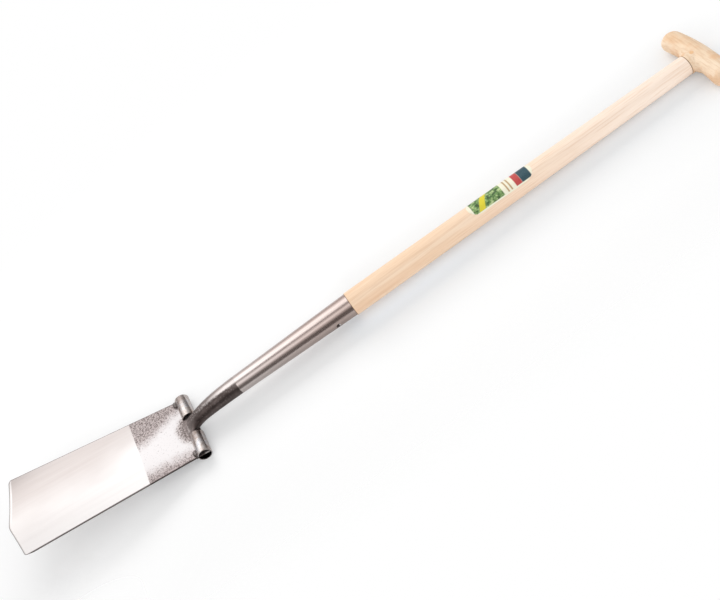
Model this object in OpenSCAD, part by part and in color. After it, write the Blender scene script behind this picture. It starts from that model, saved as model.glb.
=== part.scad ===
// Trenching spade, lying on its back with the front of the blade upwards.
// Millimetres. +X runs from the blade's point to the hand grip, +Z is up.
// The origin is on the floor, under the middle of the spade's length.
// Every piece is shaped about the shaft's own axis, with the socket's mouth at zero,
// and module laid() then puts it down on the floor.

/* [Blade] */
// Width across the top edge, under the step tubes
blade_top_w = 114; // [90:1:150]
// Width across the corners of the cutting end
blade_tip_w = 141; // [100:1:180]
// Length from the step tubes' axis to the corners
blade_len = 279; // [200:1:360]
// How far the point reaches past the corners
point_len = 19.5; // [8:0.5:40]
// Thickness of the plate
blade_t = 3; // [2:0.1:5]
// Depth of the dish at the cutting end
dish_depth = 14; // [4:0.5:24]
// Radius of the corners of the cutting end
corner_r = 5; // [2:0.5:12]
// Length of the bevel behind the cutting edge
bevel_len = 8; // [3:0.5:16]
// Thickness left at the cutting edge
edge_t = 0.8; // [0.4:0.1:1.5]
// Forward crank of the blade against the shaft, in degrees
blade_crank = 12.2; // [6:0.1:18]

/* [Step tubes] */
// Outer diameter of a step tube
step_d = 22; // [18:0.5:32]
// Wall of a step tube
step_wall = 2; // [1.5:0.1:3]
// Gap between the two tubes, where the neck comes through
step_gap = 36; // [32:1:50]
// How far a tube's outer end stands out past the side of the blade
step_proud = 1.4; // [0:0.1:4]
// How far the tubes' axis lies behind the shaft's axis
step_back = 17.2; // [8:0.1:28]
// Radius of a weld lump
weld_r = 4; // [2.5:0.1:5]
// Length of a weld lump along its tube
weld_len = 12; // [9:0.5:18]

/* [Neck] */
// Length along the shaft's line, from the socket to the step tubes' axis
neck_len = 92.5; // [70:0.5:130]
// Width of the neck where it is slimmest
neck_waist_w = 23.5; // [18:0.5:28]
// Thickness of the neck where it is slimmest
neck_waist_t = 21.5; // [18:0.5:28]
// Thickness of the foot over the step tubes' axis
foot_t = 15; // [11:0.5:18]
// How far the foot reaches down the blade from the step tubes' axis
foot_reach = 12; // [9:0.5:30]
// Width of the foot at its end
foot_end_w = 24; // [12:0.5:30]
// Straight lead of the neck out of the socket
neck_lead = 94; // [40:1:108]
// Length over which the neck settles into the blade's own direction
neck_settle = 20; // [14:1:40]

/* [Socket] */
// Length of the socket
socket_len = 203; // [140:1:260]
// Outer diameter at the mouth
socket_mouth_d = 36.1; // [32:0.1:44]
// Outer diameter at the neck
socket_neck_d = 29; // [25:0.1:31]
// Wall of the socket
socket_wall = 2; // [1.5:0.1:3]
// Thickness of the solid end below the wood
socket_floor = 14; // [8:0.5:30]
// Diameter of the cross rivet
rivet_d = 7.5; // [4:0.5:10]
// Distance of the cross rivet from the mouth
rivet_from_mouth = 32; // [15:1:60]
// How far the rivet is turned out of level, round the shaft, in degrees
rivet_turn = 15; // [-30:1:30]
// How far a rivet head stands proud of the socket
rivet_proud = 0.9; // [0.4:0.1:2]

/* [Shaft] */
// Length from the socket's mouth to the grip's seat
shaft_len = 598.5; // [450:0.5:800]
// Diameter just above the socket
shaft_low_d = 38; // [34:0.1:44]
// Diameter under the grip
shaft_top_d = 30.6; // [26:0.1:34]
// How much fuller the shaft is in the middle than a straight taper
shaft_belly = 0.8; // [0:0.1:2]
// Diameter of the tenon inside the grip
tenon_d = 20; // [14:0.5:22]
// Length of the tenon
tenon_len = 26; // [18:0.5:30]

/* [Grip] */
// Length of the grip from end to end
grip_len = 130; // [110:1:180]
// Height of an arm, along the shaft
grip_h = 33; // [24:0.5:38]
// Thickness of an arm, front to back
grip_t = 33; // [26:0.5:38]
// How far the arms' ends droop towards the blade
grip_droop = 6; // [2:0.5:16]
// Height of the grip's axis above its seat on the shaft
grip_axis_h = 23.5; // [17:0.5:30]
// Radius of the hollow that leads from the arms to the shaft
grip_hollow_r = 8; // [6:0.5:16]
// Diameter of the dowel through the tenon
dowel_d = 6; // [4:0.5:8]
// Height of the dowel above the seat
dowel_h = 12.5; // [7:0.5:18]

/* [Label] */
// Length of the label along the shaft
label_len = 111; // [60:1:140]
// Distance of its lower end from the socket's mouth
label_from_mouth = 215.5; // [80:0.5:300]
// Arc of the shaft that it covers, in degrees
label_arc = 104; // [50:1:140]
// Thickness of the label
label_t = 0.3; // [0.2:0.05:0.5]

/* [Hidden] */
$fn = 64;

// Room between the plate and what straddles it
plate_clearance = 0.1;
// Room between the foot's flanks and the tubes' inner ends
foot_clearance = 0.3;
// Room between the wood and the steel round it, and in the grip
wood_clearance = 0.1;
// Room round the rivet and the dowel
pin_clearance = 0.05;
// Room between the wooden cone's end and the bottom of the socket
cone_end_gap = 3;
// Layer of glue under the label
label_glue = 0.2;
// How far the grip's boss stands out round the shaft's end
boss_lip = 0.5;
// How far a cut runs past what it cuts
overrun = 5;

// Steps of the blade's skin along it and across it
blade_rows = 20;
blade_columns = 28;
// Rings and sides of the neck and of the grip
neck_rings = 22;
neck_sides = 32;
grip_rings = 32;
grip_sides = 32;
// Steps of the shaft's taper
shaft_steps = 8;
// How sharply the dish sets in below the foot
dish_power = 1.4;
// Share of its radius by which a weld lump stands off the tube and the plate
weld_stand_share = 0.3;
// Share of half the width over which the blade's point is rounded
point_round_share = 0.05;
// Share of an arm's half length that is taken by its rounded end
arm_end_share = 0.17;
// Share of an arm's section that is left flat at its very end
arm_flat_share = 0.5;
// Shares of the way to the seat that the arms' hollow reaches, and of the arms' thickness
// that the boss keeps inside them
hollow_depth_share = 0.85;
boss_top_share = 0.955;
// Place along the neck of its waist and of its flare, as shares of its path
neck_waist_share = 0.5;
neck_flare_share = 0.86;

step_r = step_d / 2;
step_bore_r = step_r - step_wall;
step_len = (blade_top_w - step_gap) / 2 + step_proud;
step_x = -socket_len - neck_len;
step_z = -step_back;
plate_half = blade_t / 2;
slot_half = plate_half + plate_clearance;
// The plate's top edge reaches right across the tubes' bore
plate_top = -sqrt(pow(step_bore_r - plate_clearance, 2) - pow(plate_half, 2));
socket_mouth_r = socket_mouth_d / 2;
socket_neck_r = socket_neck_d / 2;
shaft_cone_len = socket_len - socket_floor - cone_end_gap;
grip_x = shaft_len + grip_axis_h;

// Tilt at which the spade lies on its step tubes and its grip
lie_dx = grip_x - step_x;
lie_dz = -step_z;
lie_tilt = atan2(lie_dz, lie_dx) - asin((grip_t / 2 - step_r) / norm([lie_dx, lie_dz]));
lie_z = step_r + step_x * sin(lie_tilt) - step_z * cos(lie_tilt);
point_x = step_x - (blade_len + point_len) * cos(blade_crank) - dish_depth * sin(blade_crank);
point_z = step_z + (blade_len + point_len) * sin(blade_crank) - dish_depth * cos(blade_crank);
lie_low_x = point_x * cos(lie_tilt) + point_z * sin(lie_tilt);
lie_high_x = grip_x * cos(lie_tilt) + norm([grip_h / 2 * cos(lie_tilt), grip_t / 2 * sin(lie_tilt)]);

function clamp01(a) = max(0, min(1, a));
function smooth(a) = let (b = clamp01(a)) b * b * (3 - 2 * b);
function mix(a, b, share) = a + (b - a) * share;

// Half width of the blade at a distance from the tubes' axis
function blade_half_w(s) = mix(blade_top_w, blade_tip_w, s / blade_len) / 2;
// Where the cutting edge lies, for a place across the blade from -1 to 1
function corner_drop(v) =
    let (inset = min(1, (1 - abs(v)) * blade_tip_w / 2 / corner_r))
    corner_r * (1 - sqrt(1 - pow(1 - inset, 2)));
function point_fall(v) =
    sqrt(v * v + pow(point_round_share, 2)) - point_round_share;
function edge_s(v) = blade_len + point_len * (1 - point_fall(v)) - corner_drop(v);
// Middle surface of the plate: flat at the top, dished towards the cutting end
function dish(s, v) =
    -dish_depth * pow(clamp01((s - foot_reach) / (blade_len - foot_reach)), dish_power) * (1 - v * v);
function blade_s(i, v) =
    i > blade_rows ? edge_s(v) : mix(plate_top, edge_s(v) - bevel_len, i / blade_rows);
function blade_point(i, v, side) =
    let (s = blade_s(i, v), back_t = i > blade_rows ? edge_t - plate_half : plate_half)
    [s, v * blade_half_w(s), dish(s, v) + (side > 0 ? plate_half : -back_t)];

// Closed skin over rings of points that all have the same count
module skin(rings) {
    count = len(rings[0]);
    last = len(rings) - 1;
    walls = [
        for (r = [0:last - 1], k = [0:count - 1])
            let (a = r * count + k, b = r * count + (k + 1) % count)
            each [[a, b, b + count], [a, b + count, a + count]]
    ];
    caps = [
        for (k = [1:count - 2])
            each [[0, k + 1, k], [last * count, last * count + k, last * count + k + 1]]
    ];
    polyhedron([for (ring = rings) each ring], concat(walls, caps));
}

// From the blade's own directions, along it, across it and off its front, to the spade's
module on_blade() {
    translate([step_x, 0, step_z])
        rotate([0, blade_crank, 0])
            mirror([1, 0, 0])
                children();
}

// From the spade's own directions to the floor
module laid() {
    translate([-(lie_low_x + lie_high_x) / 2, 0, lie_z])
        rotate([0, lie_tilt, 0])
            children();
}

module along_shaft() {
    rotate([0, 90, 0])
        children();
}

module blade() {
    columns = blade_columns + 1;
    rows = blade_rows + 2;
    // Stations crowd together at the sides, where the corners are round
    across = [for (j = [0:blade_columns]) sin(mix(-90, 90, j / blade_columns))];
    points = [
        for (side = [1, -1], v = across, i = [0:rows - 1])
            blade_point(i, v, side)
    ];
    function at(side, j, i) = (side > 0 ? 0 : columns * rows) + j * rows + i;
    faces = concat(
        [for (j = [0:columns - 2], i = [0:rows - 2])
            each [[at(1, j, i), at(1, j + 1, i), at(1, j + 1, i + 1)],
                  [at(1, j, i), at(1, j + 1, i + 1), at(1, j, i + 1)],
                  [at(-1, j, i), at(-1, j + 1, i + 1), at(-1, j + 1, i)],
                  [at(-1, j, i), at(-1, j, i + 1), at(-1, j + 1, i + 1)]]],
        [for (j = [0:columns - 2])
            each [[at(1, j, 0), at(-1, j + 1, 0), at(1, j + 1, 0)],
                  [at(1, j, 0), at(-1, j, 0), at(-1, j + 1, 0)],
                  [at(1, j, rows - 1), at(1, j + 1, rows - 1), at(-1, j + 1, rows - 1)],
                  [at(1, j, rows - 1), at(-1, j + 1, rows - 1), at(-1, j, rows - 1)]]],
        [for (i = [0:rows - 2])
            each [[at(1, 0, i), at(1, 0, i + 1), at(-1, 0, i + 1)],
                  [at(1, 0, i), at(-1, 0, i + 1), at(-1, 0, i)],
                  [at(1, columns - 1, i), at(-1, columns - 1, i + 1), at(1, columns - 1, i + 1)],
                  [at(1, columns - 1, i), at(-1, columns - 1, i), at(-1, columns - 1, i + 1)]]]
    );
    color("gainsboro")
        laid()
            on_blade()
                polyhedron(points, faces);
}

// Path of the neck in the spade's own XZ plane
neck_start = [-socket_len, 0];
blade_way = [-cos(blade_crank), sin(blade_crank)];
neck_end = [step_x, step_z] + blade_way * foot_reach;
neck_pull = [neck_start - [neck_lead, 0], neck_end - blade_way * neck_settle];
function neck_at(u) =
    pow(1 - u, 3) * neck_start + 3 * u * pow(1 - u, 2) * neck_pull[0]
    + 3 * u * u * (1 - u) * neck_pull[1] + pow(u, 3) * neck_end;
function neck_way(u) =
    let (way = pow(1 - u, 2) * (neck_pull[0] - neck_start) + 2 * u * (1 - u) * (neck_pull[1] - neck_pull[0])
               + u * u * (neck_end - neck_pull[1]))
    way / norm(way);
foot_w = step_gap - 2 * foot_clearance;
function neck_w(u) =
    u < neck_waist_share ? mix(socket_neck_d, neck_waist_w, smooth(u / neck_waist_share))
    : u < neck_flare_share
        ? mix(neck_waist_w, foot_w, smooth((u - neck_waist_share) / (neck_flare_share - neck_waist_share)))
    : mix(foot_w, foot_end_w, 1 - sqrt(1 - pow((u - neck_flare_share) / (1 - neck_flare_share), 2)));
function neck_t(u) =
    u < neck_waist_share ? mix(socket_neck_d, neck_waist_t, smooth(u / neck_waist_share))
    : u < neck_flare_share
        ? mix(neck_waist_t, foot_t, smooth((u - neck_waist_share) / (neck_flare_share - neck_waist_share)))
    : mix(foot_t, blade_t + 2 * plate_clearance + 2 * edge_t,
          1 - sqrt(1 - pow((u - neck_flare_share) / (1 - neck_flare_share), 2)));
function neck_ring(u) =
    let (centre = neck_at(u), way = neck_way(u))
    [for (k = [0:neck_sides - 1])
        let (turn = 360 * k / neck_sides, out = neck_t(u) / 2 * cos(turn))
        [centre[0] + way[1] * out, neck_w(u) / 2 * sin(turn), centre[1] - way[0] * out]];

module neck() {
    color("dimgray")
        laid()
            difference() {
                skin([for (i = [0:neck_rings]) neck_ring(i / neck_rings)]);
                on_blade()
                    translate([plate_top - plate_clearance, -blade_top_w / 2, -slot_half])
                        cube([blade_len, blade_top_w, 2 * slot_half]);
            }
}

module socket() {
    bore_len = socket_len - socket_floor;
    color("silver")
        laid()
            difference() {
                along_shaft()
                    rotate_extrude()
                        polygon([
                            [0, -socket_len], [socket_neck_r, -socket_len], [socket_mouth_r, 0],
                            [socket_bore_r(0), 0], [socket_bore_r(-bore_len), -bore_len], [0, -bore_len]
                        ]);
                rivet_hole();
            }
}

// Radius of the socket's outside, at a place along the shaft
function socket_r(x) = mix(socket_mouth_r, socket_neck_r, -x / socket_len);
function socket_bore_r(x) = socket_r(x) - socket_wall;

module rivet_hole() {
    translate([-rivet_from_mouth, 0, 0])
        rotate([90 + rivet_turn, 0, 0])
            cylinder(r = rivet_d / 2 + pin_clearance, h = 2 * socket_mouth_d, center = true);
}

module socket_rivet() {
    shank_r = rivet_d / 2;
    half = socket_r(-rivet_from_mouth);
    dome_r = (shank_r * shank_r + rivet_proud * rivet_proud) / (2 * rivet_proud);
    color("gray")
        laid()
            translate([-rivet_from_mouth, 0, 0])
                rotate([90 + rivet_turn, 0, 0]) {
                    cylinder(r = shank_r, h = 2 * half, center = true);
                    for (end = [-1, 1])
                        intersection() {
                            translate([0, 0, end * (half + rivet_proud - dome_r)])
                                sphere(r = dome_r);
                            cylinder(r = shank_r, h = 2 * (half + rivet_proud), center = true);
                        }
                }
}

module step_tube(side) {
    color("lightsteelblue")
        laid()
            on_blade()
                translate([0, side * (step_gap + step_len) / 2, 0])
                    difference() {
                        rotate([90, 0, 0])
                            cylinder(r = step_r, h = step_len, center = true);
                        rotate([90, 0, 0])
                            cylinder(r = step_bore_r, h = step_len + overrun, center = true);
                        translate([0, -step_len, -slot_half])
                            cube([step_d, 2 * step_len, 2 * slot_half]);
                    }
}

module step_tube_left() { step_tube(1); }
module step_tube_right() { step_tube(-1); }

// One lump in the corner between a tube and a face of the plate
module weld_lump(face) {
    stand = weld_stand_share * weld_r;
    lump_z = plate_half + stand;
    lump_s = sqrt(pow(step_r + stand, 2) - pow(lump_z, 2));
    bar_half = weld_len / 2 - weld_r;
    difference() {
        translate([lump_s, 0, face * lump_z]) {
            rotate([90, 0, 0])
                cylinder(r = weld_r, h = 2 * bar_half, center = true);
            for (end = [-1, 1])
                translate([0, end * bar_half, 0])
                    sphere(r = weld_r);
        }
        rotate([90, 0, 0])
            cylinder(r = step_r, h = 2 * weld_len, center = true);
        translate([0, -weld_len, -plate_half])
            cube([2 * step_d, 2 * weld_len, blade_t]);
    }
}

module step_welds(side) {
    color("darkslategray")
        laid()
            on_blade()
                translate([0, side * (blade_top_w - weld_len) / 2, 0])
                    for (face = [-1, 1])
                        weld_lump(face);
}

module step_welds_left() { step_welds(1); }
module step_welds_right() { step_welds(-1); }

// Radius of the shaft at a share of its open length
function shaft_r(share) =
    (mix(shaft_low_d, shaft_top_d, share) + 4 * shaft_belly * share * (1 - share)) / 2;

module shaft() {
    tenon_r = tenon_d / 2;
    cone_end_r = socket_bore_r(-shaft_cone_len) - wood_clearance;
    color("bisque")
        laid()
            difference() {
                along_shaft()
                    rotate_extrude()
                        polygon(concat(
                            [[0, -shaft_cone_len], [cone_end_r, -shaft_cone_len],
                             [socket_bore_r(0) - wood_clearance, 0]],
                            [for (i = [0:shaft_steps])
                                [shaft_r(i / shaft_steps), shaft_len * i / shaft_steps]],
                            [[tenon_r, shaft_len], [tenon_r, shaft_len + tenon_len],
                             [0, shaft_len + tenon_len]]
                        ));
                rivet_hole();
                dowel_bar(dowel_d / 2 + pin_clearance, grip_t);
            }
}

module dowel_bar(radius, half) {
    translate([shaft_len + dowel_h, 0, 0])
        cylinder(r = radius, h = 2 * half, center = true);
}

// The boss round the shaft's end, which runs up into the arms
boss_seat_r = shaft_r(1) + boss_lip;
function boss_r(height) = mix(boss_seat_r, boss_top_share * grip_t / 2, height / grip_axis_h);

function arm_end(v) = clamp01((abs(v) - 1 + arm_end_share) / arm_end_share);
function arm_round(v) = mix(arm_flat_share, 1, sqrt(1 - pow(arm_end(v), 2)));
function hollow(y) = smooth(1 - (abs(y) - boss_seat_r) / grip_hollow_r);
function grip_ring(v) =
    let (y = v * grip_len / 2, up = grip_h / 2 * arm_round(v), round_t = grip_t / 2 * arm_round(v),
         down = mix(up, hollow_depth_share * grip_axis_h, hollow(y)), axis = grip_x - grip_droop * v * v)
    [for (k = [0:grip_sides - 1])
        let (turn = 360 * k / grip_sides, reach = cos(turn) > 0 ? up : down)
        [axis + reach * cos(turn), y, round_t * sin(turn)]];

module grip() {
    color("burlywood")
        laid()
            difference() {
                union() {
                    skin([for (i = [0:grip_rings]) grip_ring(sin(mix(-90, 90, i / grip_rings)))]);
                    translate([shaft_len, 0, 0])
                        along_shaft()
                            cylinder(r1 = boss_seat_r, r2 = boss_r(grip_axis_h), h = grip_axis_h);
                }
                translate([shaft_len - overrun, 0, 0])
                    along_shaft()
                        cylinder(r = tenon_d / 2 + wood_clearance, h = tenon_len + wood_clearance + overrun);
                dowel_bar(dowel_d / 2 + pin_clearance, grip_t);
            }
}

module grip_dowel() {
    color("peru")
        laid()
            dowel_bar(dowel_d / 2, boss_r(dowel_h));
}

module label() {
    ends = [label_from_mouth, label_from_mouth + label_len];
    inner = [for (x = ends) shaft_r(x / shaft_len) + label_glue];
    color("honeydew")
        laid()
            along_shaft()
                rotate([0, 0, 180 - label_arc / 2])
                    rotate_extrude(angle = label_arc)
                        polygon([
                            [inner[0], ends[0]], [inner[0] + label_t, ends[0]],
                            [inner[1] + label_t, ends[1]], [inner[1], ends[1]]
                        ]);
}

blade();
neck();
socket();
step_tube_left();
step_tube_right();
step_welds_left();
step_welds_right();
shaft();
socket_rivet();
grip();
grip_dowel();
label();
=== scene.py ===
"""Trenching spade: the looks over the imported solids.

Every piece is shaped in millimetres about the shaft's own axis, with the socket's mouth at zero,
and LAID then puts it down on the floor, in metres, as the solids lie.
"""
import math
from functools import partial

import bmesh
import bpy
from mathutils import Matrix, Vector, noise


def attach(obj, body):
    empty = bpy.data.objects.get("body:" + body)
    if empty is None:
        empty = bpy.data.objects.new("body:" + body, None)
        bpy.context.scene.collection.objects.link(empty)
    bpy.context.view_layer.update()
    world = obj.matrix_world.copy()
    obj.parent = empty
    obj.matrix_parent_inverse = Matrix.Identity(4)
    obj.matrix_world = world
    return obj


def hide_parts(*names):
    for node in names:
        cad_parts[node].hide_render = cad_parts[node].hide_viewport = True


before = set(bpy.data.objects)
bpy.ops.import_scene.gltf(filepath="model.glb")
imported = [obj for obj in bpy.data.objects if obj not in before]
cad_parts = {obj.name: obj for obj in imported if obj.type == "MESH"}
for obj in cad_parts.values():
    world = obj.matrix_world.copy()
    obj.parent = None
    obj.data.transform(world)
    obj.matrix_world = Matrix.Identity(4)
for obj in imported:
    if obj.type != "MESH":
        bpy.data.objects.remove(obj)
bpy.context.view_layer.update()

# Blade
BLADE_TOP_W, BLADE_TIP_W, BLADE_LEN, POINT_LEN = 114.0, 141.0, 279.0, 19.5
BLADE_T, DISH_DEPTH, DISH_POWER, CORNER_R = 3.0, 14.0, 1.4, 5.25
BEVEL_LEN, EDGE_T, EDGE_ROUND, BLADE_CRANK = 8.0, 0.8, 0.6, math.radians(12.2)
POINT_ROUND_SHARE, BORE_CLEAR = 0.05, 0.1
# Step tubes and their welds
STEP_R, STEP_BORE_R, STEP_GAP, STEP_BACK = 11.0, 9.0, 36.0, 17.2
STEP_PROUD, SLOT_HALF, STEP_EDGE = 1.4, 1.6, 0.45
WELD_R, WELD_LEN, WELD_STAND, WELD_RIPPLES = 4.0, 12.0, 1.2, 4
# Neck
NECK_LEN, NECK_WAIST_W, NECK_WAIST_T = 92.5, 23.5, 21.5
FOOT_W, FOOT_T, FOOT_REACH, FOOT_END_W, FOOT_END_T = 35.4, 15.0, 12.0, 24.0, 3.4
NECK_LEAD, NECK_SETTLE, WAIST_SHARE, FLARE_SHARE = 94.0, 20.0, 0.5, 0.86
HAMMER_DEPTH, HAMMER_GRAIN, HAMMER_FADE_SHARE = 0.22, 0.11, 0.06
# Socket and rivet
SOCKET_LEN, SOCKET_MOUTH_R, SOCKET_NECK_R, SOCKET_WALL = 203.0, 18.05, 14.5, 2.0
RIVET_R, RIVET_FROM_MOUTH, RIVET_PROUD, RIVET_TURN = 3.75, 32.0, 0.9, math.radians(15)
# Shaft
SHAFT_LEN, SHAFT_LOW_R, SHAFT_TOP_R, SHAFT_BELLY, SHAFT_EDGE = 598.5, 19.0, 15.3, 0.8, 0.4
# Grip
GRIP_LEN, GRIP_H, GRIP_T, GRIP_DROOP, GRIP_AXIS_H = 130.0, 33.0, 33.0, 6.0, 23.5
GRIP_HOLLOW_R, BOSS_LIP, BOSS_TOP_SHARE, HOLLOW_DEPTH_SHARE = 8.0, 0.5, 0.955, 0.85
ARM_END_SHARE, ARM_FLAT_SHARE = 0.17, 0.5
DOWEL_R, DOWEL_H, DOWEL_EDGE, DOWEL_PROUD = 3.0, 12.5, 0.25, 0.1
# Label
LABEL_LEN, LABEL_FROM_MOUTH, LABEL_ARC, LABEL_END_LEN = 111.0, 215.5, math.radians(104), 18.0
LABEL_T, LABEL_GLUE, LABEL_T_SHARE, LABEL_END_SHARE = 0.3, 0.05, 0.6, 0.94
# Finishes of wood and paper
WOOD_IOR = PAPER_IOR = 1.45

STEP_X = -SOCKET_LEN - NECK_LEN
GRIP_X = SHAFT_LEN + GRIP_AXIS_H


def laid_down():
    """The place of the spade's own directions on the floor, lying on its step tubes and its grip."""
    run, rise = GRIP_X - STEP_X, STEP_BACK
    tilt = math.atan2(rise, run) - math.asin((GRIP_T / 2 - STEP_R) / math.hypot(run, rise))
    point = Vector((STEP_X, 0, -STEP_BACK)) + Matrix.Rotation(BLADE_CRANK, 3, "Y") @ Vector(
        (-BLADE_LEN - POINT_LEN, 0, -DISH_DEPTH))
    low = point.x * math.cos(tilt) + point.z * math.sin(tilt)
    high = GRIP_X * math.cos(tilt) + math.hypot(GRIP_H / 2 * math.cos(tilt), GRIP_T / 2 * math.sin(tilt))
    up = STEP_R + STEP_X * math.sin(tilt) + STEP_BACK * math.cos(tilt)
    return Matrix.Translation((-(low + high) / 2, 0, up)) @ Matrix.Rotation(tilt, 4, "Y")


LAID_MM = laid_down()
LAID = Matrix.Scale(0.001, 4) @ LAID_MM
# From the blade's own directions, down it, across it and off its front, to the spade's
ON_BLADE = (Matrix.Translation((STEP_X, 0, -STEP_BACK)) @ Matrix.Rotation(BLADE_CRANK, 4, "Y")
            @ Matrix.Scale(-1, 4, (1, 0, 0)))


def clamp01(a):
    return max(0.0, min(1.0, a))


def smooth(a):
    a = clamp01(a)
    return a * a * (3 - 2 * a)


def mix(a, b, share):
    return a + (b - a) * share


def round_off(depth, radius):
    """How far a rounded edge falls back at a depth from its outline."""
    return radius - math.sqrt(radius ** 2 - (radius - min(depth, radius)) ** 2)


# Pieces

def piece(name, points, faces, uvs=None, place=LAID):
    """A mesh object at the origin, with its place in its mesh."""
    mesh = bpy.data.meshes.new(name)
    mesh.from_pydata([place @ Vector(p) for p in points], [], faces)
    if uvs:
        layer = mesh.uv_layers.new(name="surface")
        for loop in mesh.loops:
            layer.data[loop.index].uv = uvs[loop.vertex_index]
    outward(mesh)
    obj = bpy.data.objects.new(name, mesh)
    bpy.context.collection.objects.link(obj)
    return obj


def outward(mesh):
    """Turns all faces outwards and shades them smooth."""
    bm = bmesh.new()
    bm.from_mesh(mesh)
    bmesh.ops.recalc_face_normals(bm, faces=bm.faces)
    bm.to_mesh(mesh)
    bm.free()
    mesh.shade_smooth()


def settle(obj, place):
    """Turns what the modifiers make into the piece's plain mesh, in its place."""
    graph = bpy.context.evaluated_depsgraph_get()
    mesh = bpy.data.meshes.new_from_object(obj.evaluated_get(graph))
    obj.modifiers.clear()
    obj.data = mesh
    mesh.transform(place)
    outward(mesh)


def crease(obj, degrees):
    """Keeps an edge crisp where its faces meet at more than this angle."""
    obj.data.set_sharp_from_angle(angle=math.radians(degrees))


def stands_for(obj, node, material):
    """Gives a piece its finish, and puts it in the place of a CAD node."""
    obj.data.materials.clear()
    obj.data.materials.append(material)
    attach(obj, "root")
    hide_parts(node)


def rings_to_faces(count, sides):
    """Faces of a closed sweep over rings of points, with one flat cap at each end."""
    def at(ring, k):
        return ring * sides + k % sides
    walls = [(at(r, k), at(r, k + 1), at(r + 1, k + 1), at(r + 1, k))
             for r in range(count - 1) for k in range(sides)]
    return walls + [tuple(range(sides)), tuple(range((count - 1) * sides, count * sides))]


def turned(profile, sides):
    """Points and faces of a solid turned about the X axis, from (x, radius) pairs without the poles."""
    points = [(x, r * math.sin(2 * math.pi * k / sides), r * math.cos(2 * math.pi * k / sides))
              for x, r in profile for k in range(sides)]
    return points, rings_to_faces(len(profile), sides)


def blade_half_w(s):
    return mix(BLADE_TOP_W, BLADE_TIP_W, s / BLADE_LEN) / 2


def edge_s(v):
    """Where the cutting edge lies, for a place across the blade from -1 to 1."""
    inset = min(1.0, (1 - abs(v)) * BLADE_TIP_W / 2 / CORNER_R)
    fall = math.hypot(v, POINT_ROUND_SHARE) - POINT_ROUND_SHARE
    return BLADE_LEN + POINT_LEN * (1 - fall) - CORNER_R * (1 - math.sqrt(1 - (1 - inset) ** 2))


def dish(s, v):
    """How the plate's middle sinks, at a place down it and across it."""
    return -DISH_DEPTH * clamp01((s - FOOT_REACH) / (BLADE_LEN - FOOT_REACH)) ** DISH_POWER * (1 - v * v)


def blade_plate():
    """The dished plate, with rounded long edges and a bevel ground behind the cutting edge."""
    rows, columns, bevel_rows = 96, 56, 4
    least_step, rolled = 0.004, 0.1
    top = -math.sqrt((STEP_BORE_R - BORE_CLEAR) ** 2 - (BLADE_T / 2) ** 2)
    inner = [math.sin(math.pi / 2 * (2 * j / columns - 1)) for j in range(1, columns)]
    rim = [1 - d / (BLADE_TOP_W / 2) for d in (0.0, 0.05, 0.2, 0.4, EDGE_ROUND)]
    across = [-v for v in rim] + [v for v in inner if abs(v) < rim[-1] - least_step] + rim[::-1]
    # From 0 to 1 down the plain plate, and on to 2 down the bevel
    along = [i / rows for i in range(rows + 1)] + [1 + i / bevel_rows for i in range(1, bevel_rows + 1)]
    points, uvs, shaded_rims = [], [], []
    for side in (1, -1):
        for v in across:
            end = edge_s(v)
            for a in along:
                s = mix(top, end - BEVEL_LEN, a) if a <= 1 else end - BEVEL_LEN * (2 - a)
                y = v * blade_half_w(s)
                thin = round_off((1 - abs(v)) * BLADE_TOP_W / 2, EDGE_ROUND)
                half = BLADE_T / 2 - thin
                if side < 0 and a > 1:
                    half -= (BLADE_T - EDGE_T - thin) * (a - 1)
                points.append(ON_BLADE @ Vector((s, y, dish(s, v) + side * half)))
                uvs.append((s / 1000, y / 1000))
                shaded_rims.append(1.0 if thin > rolled or a == 2 else 0.0)
    n, m = len(across), len(along)

    def at(side, j, i):
        return (0 if side > 0 else n * m) + j * m + i
    faces = []
    for j in range(n - 1):
        for i in range(m - 1):
            for side in (1, -1):
                faces.append((at(side, j, i), at(side, j + 1, i), at(side, j + 1, i + 1), at(side, j, i + 1)))
        for i in (0, m - 1):
            faces.append((at(1, j, i), at(1, j + 1, i), at(-1, j + 1, i), at(-1, j, i)))
    for i in range(m - 1):
        for j in (0, n - 1):
            faces.append((at(1, j, i), at(1, j, i + 1), at(-1, j, i + 1), at(-1, j, i)))
    obj = piece("blade_plate", points, faces, uvs)
    # The rim attribute marks the rolled edges and the cutting edge's end face, where the finish paints shade
    obj.data.attributes.new("rim", "FLOAT", "POINT").data.foreach_set("value", shaded_rims)
    crease(obj, 50)
    return obj


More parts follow.
